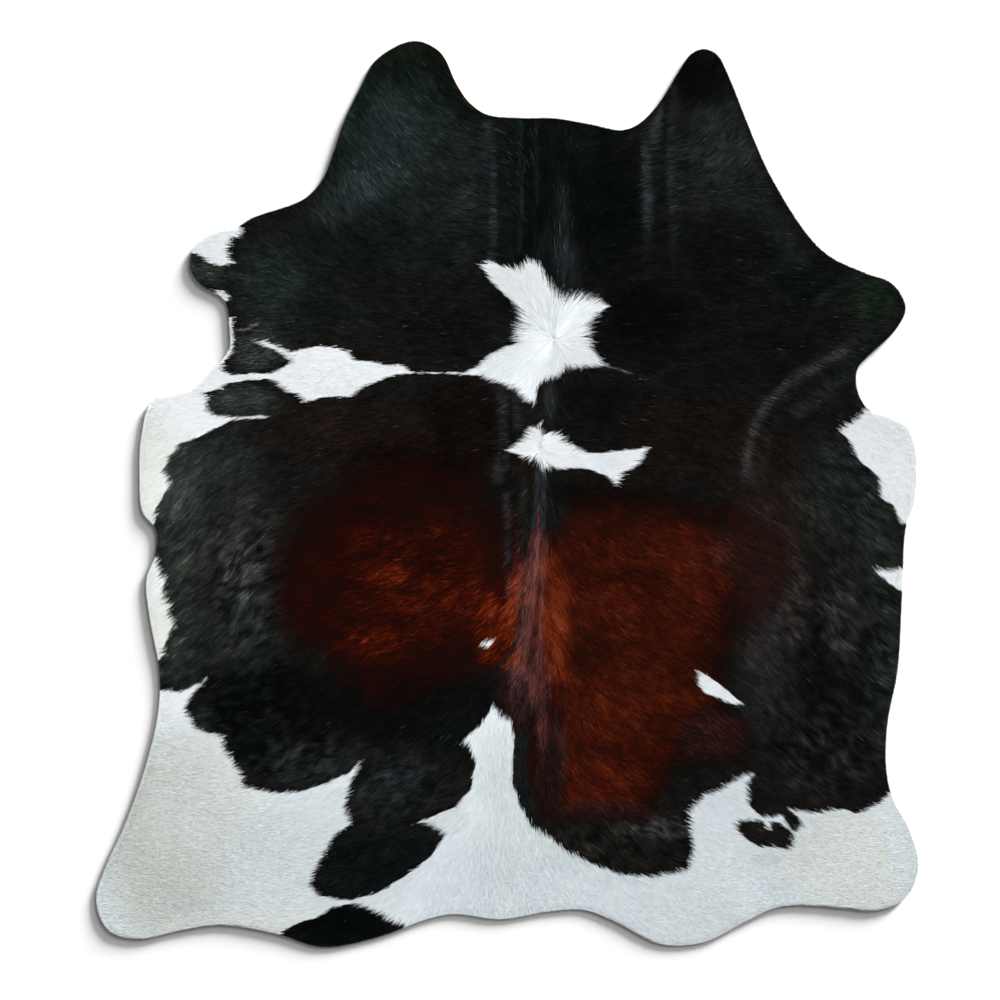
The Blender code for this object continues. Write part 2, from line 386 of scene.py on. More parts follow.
# Tanned leather: tan suede below, dull and cloudy with a nap of 0.2 to 7 mm, and hidden skin above.
leather_material, tree, output = fresh_material("vegetable_tanned_leather")
place = add(tree, "ShaderNodeNewGeometry").outputs["Position"]
under_white = add(tree, "ShaderNodeAttribute", {"attribute_name": "under_white_hair"}).outputs["Fac"]
grain_side = mixed(tree, under_white, paint("#0b0d0b"), paint("#b3aca0"))
up = add(tree, "ShaderNodeSeparateXYZ", i0=place).outputs["Z"]
is_top = add(tree, "ShaderNodeMath", {"operation": "GREATER_THAN"}, i0=up, i1=LEATHER * 0.9).outputs[0]
nap = add(tree, "ShaderNodeTexNoise", Vector=place, Scale=140.0, Detail=5.0).outputs["Fac"]
cloud = add(tree, "ShaderNodeTexNoise", Vector=place, Scale=6.0, Detail=3.0).outputs["Fac"]
suede = mixed(tree, cloud, paint("#b79b78"), paint("#d3bd9d"))
suede = mixed(tree, 0.35, suede, nap, "MULTIPLY")
colour = mixed(tree, is_top, suede, grain_side)
bump = add(tree, "ShaderNodeBump", Height=nap, Strength=0.4, Distance=0.0006)
shader = add(tree, "ShaderNodeBsdfPrincipled", Base_Color=colour, Roughness=0.9, Normal=bump.outputs[0])
tree.links.new(shader.outputs["BSDF"], output.inputs["Surface"])
leather = thing("leather", leather_mesh, leather_material)
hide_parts("cowhide")

# ----------------------------------------------------------------------------------------------------------
# The hair. Cattle hair lies flat, combed by growth from the whorl on the back. Each lock stands for a pinch
# of hairs: a long thin blade from the felted underhair up to the coat's surface. Locks gather in tufts.

COAT_BACK = 0.0036
COAT_BELLY = 0.0056
BACK_HALF_WIDTH = 0.35
BELLY_START = 0.75
RIM_ROUND = 0.003
RIM_DROP = 0.5  # how far round the rounding goes: 1 would take the coat down to the leather
WAVE_HEIGHT = 0.0007
WAVE_LENGTHS = (0.41, 0.29)
CREASE_HALF_WIDTH = 0.012
ROOT_STEP = 0.0019
LOCK_WIDTH = 0.0013
LOCK_LENGTH = 0.021
TUFT_STEP = 0.0038
WHORL = chart([(553.7, 338.5)])[0]
WHORL_REACH = 0.11
CLOUD_LONG, CLOUD_WIDE = 2.4, 2.3  # the area that the clouds of tone cover
SEEN_SHARE = 0.72  # how far along a lock its looks are judged

# Marks where the hide was folded for packing: start, pull of the bend, end, height of the ridge.
CREASES = {
    "neck, left of the spine": ((-0.047, 0.865), (-0.045, 0.740), (-0.048, 0.573), 0.0010),
    "neck, on the spine": ((0.031, 0.860), (0.033, 0.740), (0.028, 0.620), 0.0008),
    "neck, right of the spine": ((0.336, 0.880), (0.340, 0.790), (0.348, 0.691), 0.0012),
    "neck, far right": ((0.393, 0.930), (0.400, 0.790), (0.402, 0.620), 0.0010),
    "back, by the spine": ((-0.028, 0.256), (-0.024, 0.140), (-0.016, 0.033), 0.0011),
    "loin, by the spine": ((-0.012, -0.020), (-0.007, -0.180), (-0.004, -0.343), 0.0009),
    "right flank": ((0.567, 0.045), (0.598, 0.240), (0.768, 0.330), 0.0014),
    "right elbow": ((0.733, 0.172), (0.773, 0.190), (0.793, 0.228), 0.0008),
}

# How the hair lies: chart square, and heading in degrees, 0 to the right, 90 to the neck, 180 to the left.
LAY = (
    (410, 70, 125), (360, 130, 125), (345, 195, 110), (400, 160, 138), (300, 230, 135), (440, 120, 150),
    (490, 140, 172), (480, 230, 178), (400, 250, 165), (320, 290, 165), (240, 290, 175), (210, 250, 180),
    (255, 340, 190), (548, 150, 95), (553, 250, 90), (600, 140, 20), (640, 170, 8), (700, 80, 60),
    (735, 160, 45), (700, 230, 20), (740, 215, -25), (640, 250, 5), (760, 260, -10), (830, 290, 5),
    (890, 300, 0), (780, 340, -5), (400, 340, 182), (300, 370, 188), (230, 380, 185), (690, 340, -2),
    (470, 340, 182), (640, 340, -2), (549, 400, 272), (528, 410, 184), (575, 410, -4), (512, 448, 176),
    (529, 440, 162), (552, 438, 26), (541, 466, 268), (558, 458, 6), (580, 448, 8), (620, 460, 4),
    (541, 478, 270), (528, 482, 212), (556, 482, 328), (541, 520, 270), (512, 520, 196), (575, 520, 344),
    (537, 560, 268), (521, 565, 232), (556, 565, 312), (500, 580, 200), (595, 580, 330), (532, 610, 266),
    (512, 620, 230), (556, 620, 308), (527, 655, 262), (500, 660, 214), (590, 660, 324), (520, 700, 262),
    (506, 780, 270), (504, 860, 270), (503, 910, 270), (460, 470, 182), (640, 500, 350), (450, 560, 186),
    (650, 560, 340), (440, 650, 194), (650, 650, 334), (380, 500, 186), (720, 500, 330), (300, 480, 200),
    (800, 480, 318), (230, 450, 215), (190, 500, 225), (220, 560, 225), (230, 640, 225), (340, 590, 192),
    (760, 600, 318), (840, 560, 315), (870, 640, 312), (830, 720, 318), (340, 700, 215), (400, 760, 205),
    (300, 760, 205), (250, 740, 200), (650, 740, 335), (600, 800, 325), (700, 820, 335), (780, 790, 325),
    (160, 420, 200), (160, 600, 215), (180, 760, 185), (150, 860, 178), (240, 850, 185), (200, 910, 180),
    (320, 860, 190), (400, 850, 200), (450, 800, 200), (460, 880, 245), (545, 880, 292), (600, 900, 320),
    (680, 910, 335), (760, 880, 345), (840, 860, 355), (890, 850, 0), (860, 400, 330), (890, 460, 325),
    (895, 540, 320),
)


def survey_places():
    """The x and the y of every node of the survey."""
    return np.meshgrid(survey_x, survey_y)


def combed(rows):
    """Surveys of the lay's direction, as its x and y parts, eased between the charted headings."""
    x, y = survey_places()
    lay = np.zeros((2,) + x.shape)
    for column, row, heading in rows:
        px, py = chart([(column, row)])[0]
        pull = 1.0 / ((x - px) ** 2 + (y - py) ** 2 + 0.0004) ** 1.6
        lay[0] += pull * math.cos(math.radians(heading))
        lay[1] += pull * math.sin(math.radians(heading))
    away_x, away_y = x - WHORL[0], y - WHORL[1]
    away = np.hypot(away_x, away_y) + 1e-6
    size = np.hypot(lay[0], lay[1]) + 1e-9
    hold = np.exp(-(away / WHORL_REACH) ** 2)
    lay[0] = lay[0] / size * (1 - hold) + away_x / away * hold
    lay[1] = lay[1] / size * (1 - hold) + away_y / away * hold
    size = np.hypot(lay[0], lay[1]) + 1e-9
    return lay[0] / size, lay[1] / size


def eased(share):
    """The share held within 0 and 1, leaving and reaching them gently."""
    share = np.clip(share, 0, 1)
    return share * share * (3 - 2 * share)


def oval(column, row, half_long, half_wide, turn):
    """A survey of a soft oval: 1 over its middle, 0 well outside. Sizes in squares, turn in degrees."""
    x, y = survey_places()
    px, py = chart([(column, row)])[0]
    c, s = math.cos(math.radians(turn)), math.sin(math.radians(turn))
    u = ((x - px) * c + (y - py) * s) / (half_long * SQUARE)
    v = ((y - py) * c - (x - px) * s) / (half_wide * SQUARE)
    return eased((1.5 - np.sqrt(u * u + v * v)) / 1.1)


def stroke(squares, half_wide):
    """A survey of a soft line through the chart squares, 1 along it and 0 at its sides."""
    x, y = survey_places()
    away = np.full(x.shape, 1.0)
    points = chart(squares)
    for a, b in zip(points, points[1:]):
        away = np.minimum(away, away_from_run(x, y, a, b))
    return eased(1.5 - away / (half_wide * SQUARE))


def painted(rows, start):
    """Surveys of what the rows paint one over another: an oval or a line, a strength, the values."""
    layers = [np.full((len(survey_y), len(survey_x)), float(value)) for value in start]
    for where, *rest in rows:
        cover = stroke(where, rest.pop(0)) if isinstance(where[0], tuple) else oval(*where)
        cover *= rest.pop(0)
        for layer, value in zip(layers, rest):
            layer += (value - layer) * cover
    return layers


def ridges():
    """A survey of the height that the fold marks add."""
    x, y = survey_places()
    raised = np.zeros(x.shape)
    for start, bend, end, height in CREASES.values():
        start, bend, end = (np.array(p) for p in (start, bend, end))
        for k in range(81):
            t = k / 80
            spot = start * (1 - t) ** 2 + bend * (2 * t * (1 - t)) + end * t**2
            fade = min(1.0, 4 * t, 4 * (1 - t))
            aside = np.hypot(x - spot[0], y - spot[1]) / CREASE_HALF_WIDTH
            raised = np.maximum(raised, height * fade * np.clip(1 - aside, 0, 1))
    return raised


def coat_depth(places):
    """The coat's depth, as the solid has it: deeper at the flanks and a little wavy, up to the cut rim."""
    belly = eased((np.abs(places[:, 0]) - BACK_HALF_WIDTH) / (BELLY_START - BACK_HALF_WIDTH))
    depth = COAT_BACK + (COAT_BELLY - COAT_BACK) * belly
    wave = (np.sin(2 * math.pi * (places[:, 0] / WAVE_LENGTHS[0] + 0.15))
            * np.sin(2 * math.pi * (places[:, 1] / WAVE_LENGTHS[1] + 0.4)))
    inset = np.clip(1 - read(rim_depth, places) / RIM_ROUND, 0, RIM_DROP)
    return (depth + WAVE_HEIGHT * wave + read(fold_ridges, places)) * np.sqrt(1 - inset**2)


def underhair_share(places):
    """The share of the coat's depth that the felted underhair fills, more under white hair."""
    return 0.62 + 0.16 * np.clip(read(white_depth, places) / PATCH_BLEND + 0.5, 0, 1)


def cloudiness(step):
    """A survey of smooth random values from -1 to 1 whose clouds are about a step across."""
    x, y = survey_places()
    knots = rng.uniform(-1, 1, (int(CLOUD_LONG / step) + 3, int(CLOUD_WIDE / step) + 3))
    u = (x - survey_low[0]) / step
    v = (y - survey_low[1]) / step
    i, j = u.astype(int), v.astype(int)
    return between(knots, i, j, eased(u - i), eased(v - j))


def drawn_out(clouds, reach):
    """The clouds at each lock's seen place, drawn out along its hair to either side."""
    steps = (-1.0, -0.5, 0.0, 0.5, 1.0)
    return sum(read(clouds, seen_at + direction * (step * reach)) for step in steps) / len(steps)


def gathered(places, step):
    """The middles of tufts on a loose grid, and for each place the number of the tuft that it belongs to."""
    low = survey_low - 3 * step
    columns = int((survey_x[-1] - low[0]) / step) + 6
    rows = int((survey_y[-1] - low[1]) / step) + 6
    jitter = rng.uniform(-0.42, 0.42, (rows, columns, 2))
    grid_x = low[0] + (np.arange(columns)[None, :] + 0.5 + jitter[:, :, 0]) * step
    grid_y = low[1] + (np.arange(rows)[:, None] + 0.5 + jitter[:, :, 1]) * step
    i = ((places[:, 0] - low[0]) / step).astype(int)
    j = ((places[:, 1] - low[1]) / step).astype(int)
    best = np.full(len(places), 1e9)
    number = np.zeros(len(places), int)
    for dj in (-1, 0, 1):
        for di in (-1, 0, 1):
            across, along = places[:, 0] - grid_x[j + dj, i + di], places[:, 1] - grid_y[j + dj, i + di]
            away = across**2 + along**2
            nearer = away < best
            best[nearer] = away[nearer]
            number[nearer] = ((j + dj) * columns + i + di)[nearer]
    return np.column_stack((grid_x.ravel(), grid_y.ravel())), number


def turned(directions, angles):
    """The directions, each turned by its angle."""
    c, s = np.cos(angles), np.sin(angles)
    x, y = directions[:, 0], directions[:, 1]
    return np.column_stack((x * c - y * s, x * s + y * c))


def lay_at(places):
    """The direction in which the hair lies at each place."""
    lay = np.column_stack((read(lay_x, places), read(lay_y, places)))
    return lay / (np.linalg.norm(lay, axis=1)[:, None] + 1e-9)


rng = np.random.default_rng(7)
fold_ridges = ridges()
lay_x, lay_y = combed(LAY)

# Longer hair at the whorl, down the spine and on the flanks: an oval, strength, share added to the length.
LONG_HAIR = (
    ((240, 570, 70, 130, 0), 1, 0.30), ((830, 660, 70, 150, 0), 1, 0.25), ((546, 560, 20, 110, 0), 1, 0.45),
    ((505, 840, 20, 90, 0), 1, 0.25), ((565, 235, 20, 60, 0), 1, 0.8), ((553, 318, 42, 40, 0), 1, 0.95),
)
# Fluffy, curling hair: a soft oval, strength, fluffiness.
FLUFF = (
    ((248, 590, 42, 84, 8), 1, 1.0), ((235, 700, 56, 44, 0), 1, 0.9), ((280, 752, 70, 34, 0), 1, 1.0),
    ((180, 560, 22, 110, 0), 1, 0.5), ((400, 790, 60, 44, 0), 1, 0.7), ((630, 840, 80, 30, 0), 1, 1.0),
    ((825, 620, 50, 70, 0), 1, 0.7), ((825, 740, 60, 60, 0), 1, 1.0), ((860, 500, 44, 50, 0), 1, 0.5),
    ((885, 660, 20, 100, 0), 1, 0.7), ((170, 620, 30, 70, 0), 1, 0.5), ((350, 560, 40, 120, 0), 0.5, 0.4),
)
(length_more,) = painted(LONG_HAIR, (0,))
(fluff,) = painted(FLUFF, (0,))
fine_cloud = cloudiness(0.007)
middle_cloud = cloudiness(0.015)
broad_cloud = cloudiness(0.034)
# Clouds for the painted light and shade of fluffy hair: paler along its curls, with painted shade in the
# gaps.
curl_shading_cloud = cloudiness(0.014)
gap_shade_cloud = cloudiness(0.012)
swirl = 0.55 * cloudiness(0.028) + 0.35 * cloudiness(0.013)

columns = int((survey_x[-1] - survey_x[0]) / ROOT_STEP)
rows = int((survey_y[-1] - survey_y[0]) / ROOT_STEP)
cell_x, cell_y = np.meshgrid(np.arange(columns), np.arange(rows))
cells = np.column_stack((cell_x.ravel(), cell_y.ravel()))
roots = survey_low + (cells + 0.5 + rng.uniform(-0.45, 0.45, cells.shape)) * ROOT_STEP
kept = read(rim_depth, roots) > 0.0007
roots, cells = roots[kept], cells[kept]
total = len(roots)

tuft_middles, tuft = gathered(roots, TUFT_STEP)
tuft_bend = rng.normal(0, 0.10, len(tuft_middles))
tuft_tone = rng.normal(0, 1, len(tuft_middles))
tuft_jag = rng.normal(0, 1, len(tuft_middles))
own_fluff = read(fluff, roots)

length = LOCK_LENGTH * (1 + read(length_more, roots)) * rng.uniform(0.75, 1.2, total)
bend = tuft_bend[tuft] + (0.06 + 0.64 * own_fluff) * read(swirl, roots) + rng.normal(0, 0.05, total)
direction = turned(lay_at(roots), bend)
tips = roots + direction * length[:, None]
tuft_swirl = (0.06 + 0.64 * read(fluff, tuft_middles)) * read(swirl, tuft_middles)
tuft_lay = turned(lay_at(tuft_middles), tuft_bend + tuft_swirl)
tuft_length = LOCK_LENGTH * (1 + read(length_more, tuft_middles))
tuft_tips = tuft_middles + tuft_lay * tuft_length[:, None]
border = read(white_depth, roots + direction * 0.012)
gather = np.where(border > 0, 0.12, 0.22) + 0.4 * np.exp(-(border / 0.012) ** 2)
tips += (tuft_tips[tuft] - tips) * gather[:, None]

# Trimmed where the knife went round the rim.
overhang = rng.uniform(0.0002, 0.0020, total)
for _ in range(3):
    root_in, tip_in = read(rim_depth, roots), read(rim_depth, tips)
    out = tip_in < -overhang
    share = np.where(out, (root_in + overhang) / np.maximum(root_in - tip_in, 1e-5), 1.0)
    tips = roots + (tips - roots) * np.clip(share, 0.08, 1.0)[:, None]

run = tips - roots
length = np.linalg.norm(run, axis=1)
direction = run / np.maximum(length, 1e-6)[:, None]
seen_at = roots + run * SEEN_SHARE

# White or dark, partly tuft by tuft: a border across the lay is jagged, and one along it is smooth.
rise_y, rise_x = np.gradient(white_depth, SURVEY_STEP)
across = np.abs(read(rise_x, seen_at) * direction[:, 0] + read(rise_y, seen_at) * direction[:, 1])
jag = (0.25 + 0.75 * across) * length * (0.12 * tuft_jag[tuft] + 0.11 * rng.normal(0, 1, total))
tuft_seen = tuft_middles + tuft_lay * (tuft_length * SEEN_SHARE)[:, None]
judged = seen_at + (tuft_seen[tuft] - seen_at) * 0.3
is_white = read(white_depth, judged) + jag > 0

layer = 1 - rng.random(total) * 0.04
tip_z = LEATHER + coat_depth(tips) * layer
root_z = LEATHER + coat_depth(roots) * (0.94 - 0.04 * rng.random(total))
roll = rng.normal(0, 0.03, total)
half = LOCK_WIDTH / 2 * rng.uniform(0.7, 1.2, total)
side = np.column_stack((-direction[:, 1], direction[:, 0]))
blades = np.empty((total, 3, 3))
blades[:, 0, :2] = roots + side * half[:, None]
blades[:, 0, 2] = root_z + half * roll
blades[:, 1, :2] = roots - side * half[:, None]
blades[:, 1, 2] = root_z - half * roll
blades[:, 2, :2] = tips
blades[:, 2, 2] = tip_z

# Each blade is shaded as part of the coat: a little domed over its tuft, leaning back along the lay.
lean = np.where(is_white, 0.006, 0.035)[:, None]
facing = np.clip((seen_at - tuft_seen[tuft]) / (TUFT_STEP / 2), -1.5, 1.5) * lean - direction * lean
facing += side * rng.normal(0, 1, (total, 1)) * lean
normals = np.column_stack((facing, np.ones(total)))
normals /= np.linalg.norm(normals, axis=1)[:, None]
lock_random = rng.random(total)
lock_noise = rng.normal(0, 1, total)
everywhere = np.arange(total)
fine = 1.6 * drawn_out(fine_cloud, 0.006)
middle = 1.5 * drawn_out(middle_cloud, 0.012)
broad = read(broad_cloud, seen_at)
# Painted light and shade over fluffy hair: its curls paler, the gaps between them darker.
curl_shading = drawn_out(curl_shading_cloud, 0.006)
curl_shading /= curl_shading.std()
gap_shade = drawn_out(gap_shade_cloud, 0.005)
gap_shade = np.exp(-(gap_shade / (0.45 * gap_shade.std())) ** 2)

# Where each lock reads its painted tone: a little off its own place, so that the tones end in strands.
tuft_shift = rng.normal(0, 1, len(tuft_middles))
tone_at = seen_at + side * rng.normal(0, 0.0016, (total, 1))
tone_at += direction * (0.006 * tuft_shift[tuft] + rng.normal(0, 0.006, total))[:, None]
sheen_at = seen_at + rng.normal(0, 0.0013, (total, 2))


def coat_piece(name, chosen, shade, material):
    """One mesh of the chosen locks, with what their material reads: blade place and shade."""
    number = len(chosen)
    assert number <= 200000, (name, number)
    mesh = bpy.data.meshes.new(name)
    mesh.vertices.add(3 * number)
    mesh.vertices.foreach_set("co", blades[chosen].ravel().astype(np.float32))
    mesh.loops.add(3 * number)
    mesh.loops.foreach_set("vertex_index", np.arange(3 * number, dtype=np.int32))
    mesh.polygons.add(number)
    mesh.polygons.foreach_set("loop_start", np.arange(0, 3 * number, 3, dtype=np.int32))
    mesh.update(calc_edges=True)
    mesh.shade_smooth()
    mesh.normals_split_custom_set_from_vertices(np.repeat(normals[chosen], 3, axis=0).astype(np.float32))
    blade = np.empty((number, 3, 3), np.float32)
    blade[:, :, 0] = (-1, 1, 0)
    blade[:, :, 1] = (0, 0, 1)
    blade[:, :, 2] = lock_random[chosen][:, None]
    note(mesh, "blade", blade)
    looks = np.zeros((number, 3, 3), np.float32)
    looks[:, :, :shade.shape[1]] = shade[:, None, :]
    note(mesh, "shade", looks)
    low = cells[chosen].min(axis=0)
    span = (cells[chosen].max(axis=0) - low + 1).max()
    corner = np.array(((0.02, 0.02), (0.98, 0.02), (0.02, 0.98)))
    flat = ((cells[chosen] - low)[:, None, :] + corner[None, :, :]) / span
    mesh.uv_layers.new(name="OFBake").data.foreach_set("uv", flat.ravel().astype(np.float32))
    return thing(name, mesh, material)


def strand_streaks(tree, changes, low, high):
    """A brightness factor that streaks each blade into hairs, drawn 0.3 mm wide for their 0.05 mm."""
    blade = add(tree, "ShaderNodeAttribute", {"attribute_name": "blade"}).outputs["Vector"]
    stretch = (2.5, changes, 61.0)
    stretched = add(tree, "ShaderNodeVectorMath", {"operation": "MULTIPLY"}, i0=blade, i1=stretch).outputs[0]
    noise = add(tree, "ShaderNodeTexNoise", Vector=stretched, Scale=1.0, Detail=1.0).outputs["Fac"]
    return add(tree, "ShaderNodeMapRange", i0=noise, i1=0.3, i2=0.7, i3=low, i4=high).outputs[0]


def stops(tree, share, *codes):
    """A colour ramp fed by a share, with evenly spaced sRGB stops."""
    ramp = add(tree, "ShaderNodeValToRGB", Fac=share)
    ramp.color_ramp.elements[1].color = paint(codes[-1])
    ramp.color_ramp.elements[0].color = paint(codes[0])
    for k, code in enumerate(codes[1:-1], 1):
        ramp.color_ramp.elements.new(k / (len(codes) - 1)).color = paint(code)
    return ramp.outputs["Color"]


def shades(tree):
    """The lock's shade, as its separate numbers."""
    shade = add(tree, "ShaderNodeAttribute", {"attribute_name": "shade"}).outputs["Vector"]
    return add(tree, "ShaderNodeSeparateXYZ", i0=shade).outputs


def hair_shader(tree, output, colour, streak, specular):
    """Keratin, of its usual index of refraction: matt to satin, its sheen soft along the lay."""
    colour = add(tree, "ShaderNodeVectorMath", {"operation": "SCALE"}, i0=colour, Scale=streak).outputs[0]
    shader = add(tree, "ShaderNodeBsdfPrincipled", Base_Color=colour, Roughness=0.38, IOR=1.55,
                 Specular_IOR_Level=specular)
    tree.links.new(shader.outputs["BSDF"], output.inputs["Surface"])


# ----------------------------------------------------------------------------------------------------------
# The white hair: the star, bow-tie and patches, the rump and the hind shanks. Unpigmented hair, washed,
# clear to bluish over the rump and creamy yellow along the edges of the shanks.

# Each row: an oval (column, row, half sizes, turn) or a line (squares) and its half width, then strength,
# brightness and creaminess.
WHITE_TONES = (
    ((500, 900, 500, 170, 0), 1, 0.43, 0.10), ((160, 850, 60, 110, 10), 1, 0.30, 0.55),
    ((740, 850, 60, 90, 0), 0.8, 0.56, 0.08), ((200, 790, 60, 60, 0), 0.8, 0.46, 0.45),
    ((150, 470, 30, 90, 0), 1, 0.71, 0.50), ((185, 400, 36, 34, 0), 0.8, 0.94, 0.05),
    ((160, 620, 20, 60, 0), 1, 0.66, 0.50), ((440, 880, 60, 40, 0), 0.8, 0.36, 0.0),
    ((545, 335, 80, 90, 0), 1, 0.74, 0.02), ((580, 452, 80, 30, 0), 1, 0.76, 0.02),
    ((508, 363, 26, 18, 0), 0.8, 0.64, 0.02), ((570, 900, 70, 30, 0), 0.8, 0.50, 0.0),
    ((503, 840, 7, 90, 0), 0.8, 0.43, 0.30), ((850, 865, 60, 50, 0), 1, 0.52, 0.45),
    ((905, 860, 16, 40, 0), 1, 0.54, 0.10), ((700, 900, 60, 40, 0), 0.7, 0.56, 0.15),
    ((768, 860, 12, 8, 0), 0.8, 0.30, 0.1), ((780, 890, 14, 12, 0), 0.6, 0.38, 0.2),
    ((732, 918, 10, 5, 0), 0.6, 0.36, 0.2), ((805, 865, 8, 7, 0), 0.5, 0.38, 0.3),
    ((240, 925, 90, 16, 0), 0.6, 0.48, 0.45), ((885, 460, 30, 60, 0), 1, 0.78, 0.0),
    # The lines through the whorl and down the middle of the bow-tie are painted shade, darker where the hair
    # parts.
    (((553.5, 342), (554, 333), (555, 325)), 1.5, 1, 0.0, 0.0),
    (((552, 345), (549, 366)), 0.8, 0.6, 0.4, 0.0), (((556, 345), (560, 364)), 0.8, 0.6, 0.4, 0.0),
    (((555, 325), (557, 300), (556, 276)), 0.9, 0.7, 0.3, 0.0),
    (((558, 322), (567, 300)), 0.8, 0.6, 0.4, 0.0), (((551, 322), (546, 290)), 0.8, 0.6, 0.5, 0.0),
    (((541, 432), (541, 470)), 0.9, 0.7, 0.35, 0.0), (((554, 348), (554, 372)), 0.8, 0.5, 0.4, 0.0),
    ((700, 850, 30, 10, 20), 0.4, 0.44, 0.1), ((545, 905, 30, 6, 10), 0.5, 0.42, 0.1),
)
white_level, white_cream = painted(WHITE_TONES, (0.82, 0.06))
chosen = everywhere[is_white]
at = seen_at[chosen]
long_hair = np.clip(read(length_more, at), 0, 1)
level = read(white_level, tone_at[chosen]) + 0.012 * (fine[chosen] + middle[chosen])
level += (0.03 + 0.07 * long_hair) * tuft_tone[tuft[chosen]] + (0.13 + 0.01 * long_hair) * lock_noise[chosen]
# A thin line of painted shade along the cut rim.
level -= 0.16 * np.clip(1 - read(rim_depth, at) / 0.003, 0, 1)
white_shade = np.column_stack((level, read(white_cream, at) + 0.08 * broad[chosen]))
# Clear hair: near white and satin, with faint streaks, between a cold white and a creamy one.
white_material, tree, output = fresh_material("white_cattle_hair")
level, cream, _ = shades(tree)
clear = stops(tree, level, "#a9b2b6", "#d3dde2", "#fafcff")
creamy = stops(tree, level, "#aeb0a2", "#d9dacc", "#fffef2")
hair_shader(tree, output, mixed(tree, cream, clear, creamy), strand_streaks(tree, 1.5, 0.95, 1.045), 0.2)
upper = at[:, 1] > np.median(at[:, 1])
coat = [
    coat_piece("white_coat_upper", chosen[upper], white_shade[upper], white_material),
    coat_piece("white_coat_lower", chosen[~upper], white_shade[~upper], white_material),
]

# ----------------------------------------------------------------------------------------------------------
# The mahogany hair over the loin, on both sides of the spine. Red-brown hair with black tips, brightest
# beside the spine, where the light comes through it, and grizzled grey and pink along the spine itself.

